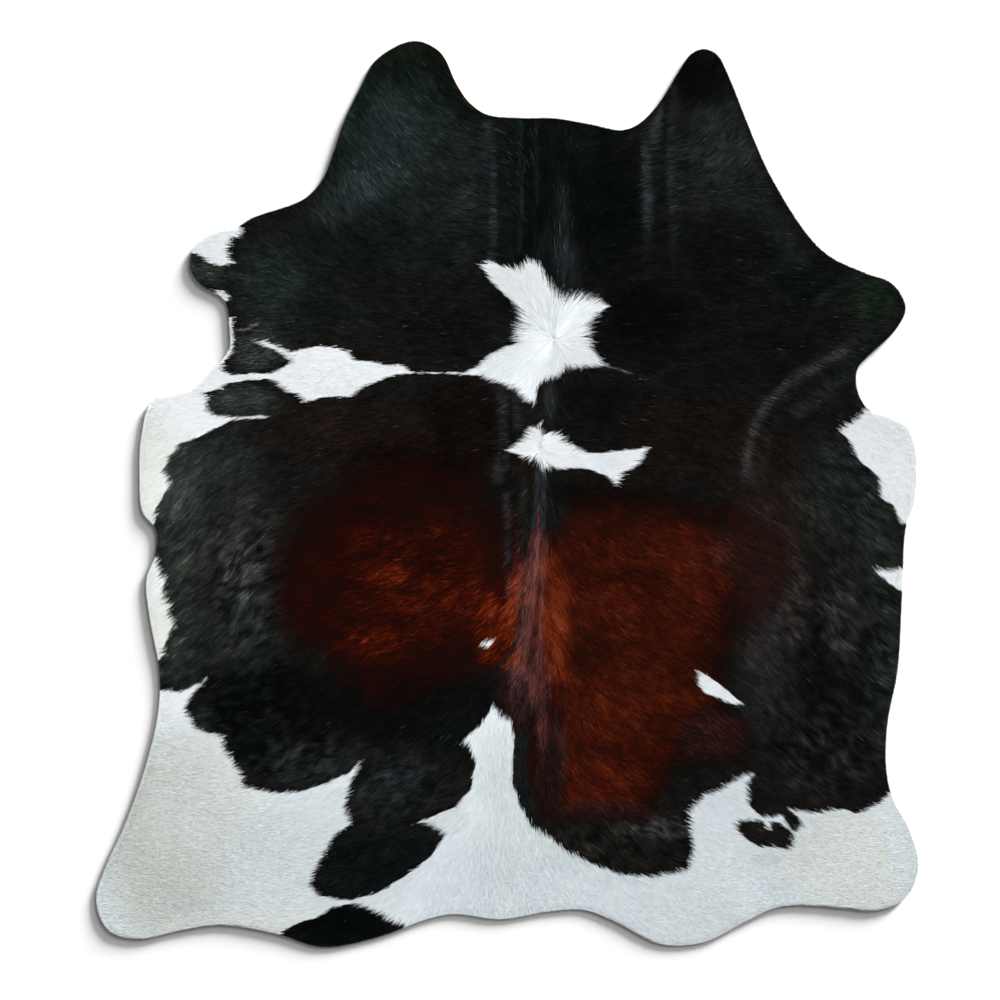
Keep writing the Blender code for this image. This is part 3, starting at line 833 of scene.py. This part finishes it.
# Each row: an oval or a line, strength, redness, greyness.
MAHOGANY = (
    ((400, 580, 118, 104, 6), 1, 0.21, 0), ((412, 490, 66, 34, 0), 0.7, 0.15, 0),
    ((405, 592, 92, 66, 4), 1, 0.25, 0), ((384, 577, 26, 14, 0), 0.8, 0.60, 0),
    ((444, 606, 42, 15, 4), 0.8, 0.46, 0), ((372, 644, 44, 18, -8), 0.8, 0.51, 0),
    ((366, 540, 20, 9, 10), 0.6, 0.38, 0), ((450, 535, 46, 9, 0), 0.7, 0.30, 0),
    ((456, 582, 26, 9, 0), 0.7, 0.43, 0), ((322, 600, 34, 60, 0), 0.7, 0.17, 0),
    ((395, 684, 74, 30, 4), 0.6, 0.13, 0), ((446, 662, 40, 15, -8), 0.8, 0.13, 0),
    ((312, 660, 18, 18, 0), 0.7, 0.03, 0), ((462, 704, 50, 18, 10), 1, 0.0, 0),
    ((318, 706, 34, 30, 0), 0.8, 0.0, 0), ((489, 622, 14, 36, 0), 0.9, 0.60, 0),
    ((488, 652, 13, 12, 0), 0.8, 0.56, 0), ((488, 532, 20, 22, 0), 0.8, 0.13, 0),
    ((640, 584, 116, 90, -6), 1, 0.27, 0.05), ((634, 588, 88, 58, -6), 1, 0.47, 0),
    ((632, 680, 78, 84, 0), 1, 0.45, 0), ((598, 765, 58, 62, 0), 1, 0.53, 0),
    ((552, 606, 21, 60, 6), 0.8, 0.80, 0), ((554, 656, 23, 40, 8), 0.7, 0.80, 0),
    ((588, 575, 16, 24, 0), 0.7, 0.36, 0), ((682, 540, 36, 18, -8), 0.8, 0.52, 0),
    ((588, 545, 24, 26, 0), 0.8, 0.42, 0), ((636, 578, 32, 12, 4), 0.8, 0.28, 0),
    ((600, 522, 34, 8, 0), 0.6, 0.30, 0), ((600, 800, 30, 12, 0), 0.6, 0.46, 0),
    ((712, 562, 24, 26, 10), 0.8, 0.58, 0.04), ((702, 602, 20, 24, 0), 0.7, 0.54, 0.03),
    ((732, 612, 16, 18, 0), 0.8, 0.17, 0), ((620, 612, 24, 16, 0), 0.6, 0.58, 0),
    ((590, 652, 20, 24, 0), 0.8, 0.30, 0), ((655, 656, 46, 14, 0), 0.8, 0.33, 0),
    ((612, 714, 34, 18, 0), 0.8, 0.57, 0), ((684, 702, 28, 12, 10), 0.8, 0.60, 0),
    ((630, 752, 46, 13, 0), 0.7, 0.32, 0), ((552, 750, 11, 16, 0), 0.8, 0.56, 0.1),
    ((620, 779, 28, 13, 0), 0.8, 0.54, 0), ((604, 816, 54, 12, 0), 0.7, 0.20, 0.3),
    ((716, 738, 34, 26, 0), 0.7, 0.40, 0.18), ((728, 542, 26, 34, 0), 0.5, 0.38, 0.08),
    ((764, 566, 26, 40, 0), 0.75, 0.26, 0.22), ((640, 482, 110, 14, -3), 0.6, 0.04, 0.0),
    ((551, 770, 13, 44, -6), 0.9, 0.10, 0.3), ((632, 840, 90, 20, -4), 1, 0.0, 0),
    ((556, 506, 16, 28, 0), 1, 0.0, 0), ((528, 500, 34, 26, 0), 1, 0.0, 0),
    ((522, 692, 24, 36, 0), 0.8, 0.27, 0.6), ((532, 684, 9, 22, 0), 0.9, 0.54, 0.42),
    (((541, 468), (541, 500), (538, 536)), 8, 1, 0.0, 0.0),
    (((535, 540), (530, 590), (524, 640), (516, 680)), 7.5, 0.9, 0.61, 0.62),
    (((526, 516), (522, 556)), 4, 0.8, 0.0, 0.3),
    (((546, 540), (542, 600), (538, 660), (533, 700)), 2.6, 0.8, 0.70, 0.45),
    ((517, 592, 10, 30, -6), 0.9, 0.88, 0.12), ((509, 625, 9, 26, 0), 0.8, 0.74, 0.0),
    ((514, 661, 12, 6, 30), 0.8, 0.80, 0.0),
    (((539, 514), (538, 545), (536, 580), (533, 612)), 1.2, 0.8, 0.90, 0.75),
    (((534, 560), (530, 615), (524, 660)), 1.0, 0.5, 0.85, 0.7),
    (((526, 552), (522, 600), (514, 650)), 1.6, 0.6, 0.1, 0.9),
    (((538, 640), (540, 690), (543, 745)), 5, 0.7, 0.58, 0.4), (((504, 470), (506, 566)), 3, 1, 0.0, 0.5),
    (((507, 566), (506, 600)), 1.6, 0.4, 0.50, 0.6), (((515, 512), (517, 556)), 1.2, 0.7, 0.62, 0.6),
)
redness, greyness = painted(MAHOGANY, (0, 0))
chosen = everywhere[~is_white]
at = seen_at[chosen]
red = read(redness, tone_at[chosen])
uneven = 0.07 * fine[chosen] + 0.09 * middle[chosen] + 0.07 * broad[chosen]
uneven += 0.095 * tuft_tone[tuft[chosen]] + 0.12 * lock_noise[chosen]
red += np.minimum(1, 4 * red) * uneven * (1.2 - 0.3 * np.clip(at[:, 0] / 0.1, 0, 1))
is_red = red > 0.06 + 0.20 * lock_random[chosen]
red_locks, red = chosen[is_red], red[is_red]
pink = read(greyness, tone_at[red_locks])
pink += 0.3 * lock_noise[red_locks] * (pink > 0.05)
brown = np.clip(seen_at[red_locks, 0] / 0.10, 0, 1)
# Red-brown hair: near black through blood red to a warm orange brown, or pinkish grey where grizzled.
mahogany_material, tree, output = fresh_material("mahogany_cattle_hair")
level, grey, brown_share = shades(tree)
colour = stops(tree, level, "#100604", "#1a0604", "#260704", "#370b04", "#4c1506", "#6c240c", "#914424")
browner = stops(tree, level, "#110806", "#1d0b07", "#290c06", "#371108", "#4c180a", "#682610", "#863b22")
colour = mixed(tree, brown_share, colour, browner)
colour = mixed(tree, grey, colour, stops(tree, level, "#151415", "#3c2c2d", "#744c48"))
hair_shader(tree, output, colour, strand_streaks(tree, 4.0, 0.66, 1.42), 0.015)
red_shade = np.column_stack((red, pink, brown))
coat.append(coat_piece("mahogany_coat", red_locks, red_shade, mahogany_material))

# ----------------------------------------------------------------------------------------------------------
# The black hair, over the neck, shoulders, flanks and rump. Black cattle hair, brushed and glossy: green
# near the rim, brown on the back, and bluish where it catches the light, by the spine and the fold marks.

# Casts, as the shares of red and of blue for each part of green.
GREEN, MOSS, LICHEN = (0.56, 0.66), (0.72, 0.80), (0.78, 0.92)
SEA, TEAL, SLATE, STEEL = (0.60, 0.88), (0.62, 1.0), (0.74, 1.02), (0.84, 1.14)
ASH, UMBER, BROWN, RUST = (1.0, 1.0), (1.08, 0.86), (1.5, 0.8), (2.1, 0.76)
NEAR_MAHOGANY = (0.07, 2.8, 0.62)

# Each row: an oval or a line where the lie of the hair turns its sheen, strength, paleness, cast.
BLACK_TONES_AND_SHEEN = (
    ((400, 150, 100, 96, 0), 1, 0.33, *SEA), ((385, 130, 50, 50, 0), 0.8, 0.49, *TEAL),
    ((358, 188, 40, 20, 20), 0.9, 0.53, *TEAL), ((410, 60, 34, 22, 0), 0.9, 0.28, *GREEN),
    ((420, 90, 40, 16, 0), 0.6, 0.34, *SEA), ((455, 190, 40, 64, 0), 0.8, 0.35, *SLATE),
    ((450, 80, 14, 20, 0), 0.7, 0.24, *GREEN), ((420, 245, 60, 34, 0), 0.8, 0.27, *SEA),
    ((355, 252, 36, 24, 0), 0.9, 0.21, *SEA), ((275, 282, 44, 50, 0), 1, 0.39, *SEA),
    ((320, 250, 30, 30, 0), 0.8, 0.27, *SEA), ((330, 215, 24, 10, 10), 0.7, 0.44, *SLATE),
    ((206, 270, 22, 16, 0), 1, 0.48, *MOSS), ((330, 310, 50, 26, 0), 0.8, 0.26, *MOSS),
    ((450, 320, 56, 46, 0), 0.8, 0.16, *MOSS), ((535, 200, 46, 100, 0), 1, 0.13, *SEA),
    ((505, 180, 16, 70, 0), 0.8, 0.25, *SEA), ((545, 140, 26, 24, 0), 0.9, 0.18, *SEA),
    ((545, 240, 10, 24, 0), 0.9, 0.22, *SLATE), ((606, 205, 42, 70, 0), 1, 0.08, *GREEN),
    ((600, 135, 40, 12, 0), 0.8, 0.22, *GREEN),
    (((394, 50), (372, 80), (352, 130), (336, 180)), 7, 0.6, 0.30, *GREEN),
    (((430, 50), (446, 90), (462, 112), (500, 119), (560, 121), (620, 131)), 7, 0.7, 0.17, *GREEN),
    ((725, 150, 46, 60, -10), 1, 0.40, *LICHEN), ((720, 200, 40, 30, 0), 0.8, 0.35, *LICHEN),
    ((700, 76, 30, 26, 0), 1, 0.03, *GREEN), ((765, 215, 20, 60, 35), 0.8, 0.35, *MOSS),
    ((715, 250, 60, 36, 0), 0.9, 0.15, *MOSS), ((722, 285, 24, 16, 0), 0.8, 0.13, *MOSS),
    ((800, 283, 36, 26, 0), 0.9, 0.19, *GREEN), ((790, 245, 30, 8, -38), 0.7, 0.34, *MOSS),
    ((780, 268, 40, 6, 30), 0.6, 0.30, *MOSS), ((876, 300, 34, 30, 0), 1, 0.36, *GREEN),
    ((832, 282, 22, 12, -20), 0.8, 0.15, *GREEN), ((650, 320, 50, 40, 0), 1, 0.04, *UMBER),
    ((750, 350, 66, 50, 0), 0.8, 0.16, *UMBER), ((870, 370, 26, 40, 0), 1, 0.32, *MOSS),
    ((600, 405, 50, 24, 0), 1, 0.10, *UMBER), ((590, 494, 64, 16, 0), 0.9, 0.12, *UMBER),
    ((506, 500, 30, 26, 0), 0.8, 0.08, *UMBER), ((462, 418, 52, 34, 0), 1, 0.06, *BROWN),
    ((340, 430, 80, 30, 0), 1, 0.19, *BROWN), ((240, 402, 38, 16, 0), 1, 0.48, *LICHEN),
    ((258, 350, 30, 20, 0), 1, 0.46, *LICHEN), ((430, 458, 90, 26, 0), 0.9, 0.04, *RUST),
    ((700, 440, 80, 40, 0), 0.9, 0.17, *BROWN), ((180, 490, 36, 74, 10), 1, 0.53, *LICHEN),
    ((225, 470, 36, 40, 0), 0.9, 0.40, *MOSS), ((176, 560, 22, 50, 0), 1, 0.46, *MOSS),
    ((178, 640, 26, 50, 0), 1, 0.43, *MOSS), ((212, 515, 12, 34, 0), 0.8, 0.28, *MOSS),
    ((242, 575, 46, 96, 8), 1, 0.38, *ASH), ((234, 632, 44, 50, 0), 0.7, 0.36, *LICHEN),
    ((308, 582, 24, 76, 0), 0.9, 0.17, 1.4, 0.78), ((268, 702, 60, 40, 0), 1, 0.03, *SEA),
    ((196, 722, 16, 14, 0), 1, 0.35, *SEA), ((250, 745, 26, 30, 0), 0.8, 0.18, *SEA),
    ((305, 766, 46, 22, 10), 1, 0.33, *SLATE), ((390, 706, 120, 36, 3), 1, 0.02, 1.0, 0.95),
    ((450, 738, 40, 22, 0), 0.8, 0.08, *SEA), ((392, 788, 48, 30, 0), 1, 0.31, *SLATE),
    ((372, 862, 62, 34, 15), 1, 0.15, *TEAL), ((340, 925, 60, 24, 0), 1, 0.0, *TEAL),
    ((524, 775, 8, 56, 0), 1, 0.26, *SLATE), ((514, 690, 14, 26, 0), 0.9, 0.34, *ASH),
    ((620, 848, 76, 30, -5), 1, 0.24, *UMBER), ((656, 826, 34, 14, 0), 0.8, 0.46, *ASH),
    ((570, 818, 30, 16, -30), 0.8, 0.22, *UMBER), ((780, 490, 60, 50, 0), 0.9, 0.26, *BROWN),
    ((850, 490, 50, 60, 0), 1, 0.38, *LICHEN), ((885, 560, 22, 60, 0), 1, 0.42, *MOSS),
    ((768, 645, 32, 84, 0), 1, 0.38, 1.1, 1.0), ((758, 556, 38, 48, 0), 0.9, 0.33, 2.0, 0.82),
    ((794, 590, 18, 50, 0), 0.8, 0.40, 1.25, 0.92), ((842, 612, 26, 54, 0), 1, 0.41, 1.06, 1.0),
    ((816, 670, 14, 44, 0), 0.9, 0.12, *ASH), ((885, 680, 18, 84, 0), 1, 0.38, *MOSS),
    ((820, 760, 66, 46, 0), 1, 0.27, 1.06, 0.94), ((770, 830, 40, 20, 0), 1, 0.28, *UMBER),
    ((563, 222, 8, 44, 2), 0.8, 0.33, *STEEL), ((566, 262, 17, 24, 10), 0.8, 0.36, *STEEL),
    (((562, 182), (550, 225), (537, 258)), 5, 0.6, 0.27, *SLATE),
    (((482, 122), (481, 170)), 3.2, 0.6, 0.36, *SLATE),
    (((488, 122), (490, 180), (491, 262)), 3.4, 0.8, 0.45, *STEEL),
    (((519, 122), (520, 180), (519, 250)), 2.8, 0.8, 0.38, *TEAL),
    (((536, 122), (537, 200)), 2.4, 0.7, 0.34, *TEAL), (((512, 122), (513, 170)), 1.8, 0.5, 0.30, *TEAL),
    ((659, 128, 6, 30, -8), 0.9, 0.54, *SLATE), ((649, 188, 6, 60, 0), 0.9, 0.52, *STEEL),
    ((675, 170, 6, 80, 0), 0.8, 0.48, *SLATE), ((666, 130, 2, 34, 0), 0.8, 0.12, *SEA),
    ((662, 190, 4, 50, 0), 0.5, 0.26, *SEA), (((499, 384), (499, 440), (497, 480)), 6.5, 0.8, 0.40, *STEEL),
    (((516, 392), (517, 426)), 5.0, 0.8, 0.38, *STEEL),
    (((505, 496), (506, 564)), 3.0, 0.8, 0.46, 1.15, 1.0), ((550, 404, 7, 24, 0), 0.9, 0.42, *STEEL),
    (((541, 470), (541, 500), (538, 540)), 7.0, 0.9, 0.42, *STEEL),
    (((522, 480), (522, 540)), 4, 0.7, 0.30, *ASH),
    (((748, 482), (753, 437), (770, 404), (800, 377), (852, 348)), 8.0, 0.6, 0.40, *ASH),
    (((748, 474), (753, 437), (770, 404), (800, 377), (844, 352)), 4.6, 0.8, 0.53, *ASH),
    (((786, 491), (806, 512)), 1.8, 0.6, 0.48, *ASH), (((767, 506), (771, 528)), 1.6, 0.6, 0.44, *UMBER),
    (((800, 412), (826, 392), (850, 372)), 8.0, 0.7, 0.40, *LICHEN),
    (((762, 470), (768, 440), (786, 410)), 3.5, 0.5, 0.36, *UMBER),
    (((230, 331), (243, 330), (257, 323)), 1.0, 0.9, 0.90, *ASH),
    (((226, 421), (246, 417), (264, 417)), 1.0, 0.7, 0.85, *ASH),
    (((598, 364), (614, 368), (632, 373)), 0.9, 0.9, 0.95, *ASH),
    (((820, 300), (850, 278), (866, 268)), 4.6, 0.6, 0.40, *MOSS),
)
# The paleness is mostly painted sheen, where the lie of the hair and the fold marks catch the light, over
# the hair's own tone.
paleness_and_sheen, red_cast, blue_cast = painted(BLACK_TONES_AND_SHEEN, (0.20, 1.0, 0.90))
# Grizzled with single pale hairs, and dusty at the neck: an oval, strength, share of pale locks.
GRIZZLED = (
    ((256, 349, 24, 18, 0), 1, 0.14), ((238, 394, 28, 10, -10), 1, 0.14), ((240, 406, 30, 8, 0), 1, 0.08),
    ((512, 150, 22, 26, 0), 1, 0.02), ((563, 225, 10, 40, 0), 1, 0.04), ((800, 300, 60, 60, 0), 1, 0.002),
    ((850, 480, 40, 60, 0), 1, 0.003), ((640, 838, 30, 16, 0), 1, 0.006), ((400, 100, 60, 50, 0), 1, 0.003),
)
(grizzled,) = painted(GRIZZLED, (0.0006,))

is_black = ~is_white
is_black[red_locks] = False
chosen = everywhere[is_black]
at = sheen_at[chosen]
own = read(fluff, at)
pale = read(paleness_and_sheen, at)
uneven = 0.12 * middle[chosen] + 0.17 * fine[chosen] + 0.14 * broad[chosen]
uneven += 0.19 * tuft_tone[tuft[chosen]] + 0.33 * lock_noise[chosen]
# Fluffy hair: painted sheen along its curls and painted shade in the gaps between them.
uneven += own * (0.33 * curl_shading[chosen] - 0.82 * gap_shade[chosen] + 0.13)
pale += np.clip(pale, 0.25, 0.32) * uneven
pale = np.where(lock_random[chosen] < read(grizzled, at), 0.66 + 0.2 * rng.random(len(chosen)), pale)
black_shade = np.column_stack((pale, read(red_cast, at) + 0.05 * broad[chosen], read(blue_cast, at)))
near_red = np.clip(8 * read(redness, tone_at[chosen]) - 0.35, 0, 1)
near_red = (near_red * np.clip((0.50 - at[:, 0]) / 0.2, 0.2, 1))[:, None]  # less so by the flank
black_shade += (NEAR_MAHOGANY - black_shade) * near_red
# Black hair: a deep black with a dim sheen, tinted by the cast, and streaked into its hairs.
black_material, tree, output = fresh_material("black_cattle_hair")
level, red_share, blue_share = shades(tree)
colour = stops(tree, level, "#030303", "#0e0e0e", "#202020", "#353535", "#5a5a5a", "#a5a5a5")
tint = add(tree, "ShaderNodeCombineXYZ", X=red_share, Y=1.0, Z=blue_share).outputs[0]
colour = add(tree, "ShaderNodeVectorMath", {"operation": "MULTIPLY"}, i0=colour, i1=tint).outputs[0]
hair_shader(tree, output, colour, strand_streaks(tree, 4.0, 0.66, 1.42), 0.04)
NECK_START = 0.33  # up the spine, where the neck's pieces begin
neck = at[:, 1] > NECK_START
left = at[:, 0] < 0
for name, part, axis in (("black_coat_neck", neck, 0), ("black_coat_left", ~neck & left, 1),
                         ("black_coat_right", ~neck & ~left, 1)):
    part = np.nonzero(part)[0]
    cut = np.median(at[part, axis])
    for suffix, share in (("a", part[at[part, axis] < cut]), ("b", part[at[part, axis] >= cut])):
        piece_name = name + "_" + suffix
        coat.append(coat_piece(piece_name, chosen[share], black_shade[share], black_material))

# ----------------------------------------------------------------------------------------------------------
# The underhair. The short dense hair below the locks, felted into one layer, of each patch's own colour. It
# closes the gaps between the locks, and stands nearly upright where the knife cut round the rim.

FELT_STEP = 0.014
FELT_RIM_STEP = 0.005
top_rim = rings[2][0]
inner_rim = top_rim - outward(top_rim) * 0.0006
places = np.vstack((
    inner_rim,
    spread(inner_rim, FELT_RIM_STEP, 0.0035, 0.013),
    spread(inner_rim, FELT_STEP, 0.013, SURVEY_REACH),
))
where = np.vstack((top_rim, places))
stands_up = np.clip(1 - read(rim_depth, where) / 0.005, 0, 1)  # by the cut rim, unpressed
share = underhair_share(where)
heights = LEATHER + coat_depth(where) * (share + (0.93 - share) * stands_up)
heights[:count] = LEATHER
faces = [(i, (i + 1) % count, count + (i + 1) % count, count + i) for i in range(count)]
faces += [tuple(count + i for i in face) for face in covered(inner_rim, places[count:])]
felt_mesh = bpy.data.meshes.new("underhair")
felt_mesh.from_pydata(np.column_stack((where, heights)).tolist(), [], faces)
felt_mesh.update()
felt_mesh.shade_smooth()
felt_mesh.normals_split_custom_set_from_vertices([(0, 0, 1)] * len(where))
looks = np.column_stack((read(white_depth, where), read(redness, where), read(white_level, where)))
note(felt_mesh, "shade", looks)
# Felted hair: dull, near black or white, with a nap of 0.3 to 2.4 mm.
felt_material, tree, output = fresh_material("felted_cattle_underhair")
inside, red_share, level = shades(tree)
place = add(tree, "ShaderNodeNewGeometry").outputs["Position"]
nap = add(tree, "ShaderNodeTexNoise", Vector=place, Scale=420.0, Detail=3.0).outputs["Fac"]
dark = mixed(tree, red_share, paint("#080908"), paint("#34100a"))
pale = stops(tree, level, "#a3acb0", "#cdd7dc", "#f2f5f8")
is_pale = add(tree, "ShaderNodeMapRange", i0=inside, i1=-0.0008, i2=0.0008, i3=0.0, i4=1.0).outputs[0]
napped = add(tree, "ShaderNodeMapRange", i0=nap, i1=0.3, i2=0.7, i3=0.9, i4=1.05).outputs[0]
hair_shader(tree, output, mixed(tree, is_pale, dark, pale), napped, 0.02)
coat.append(thing("underhair", felt_mesh, felt_material))
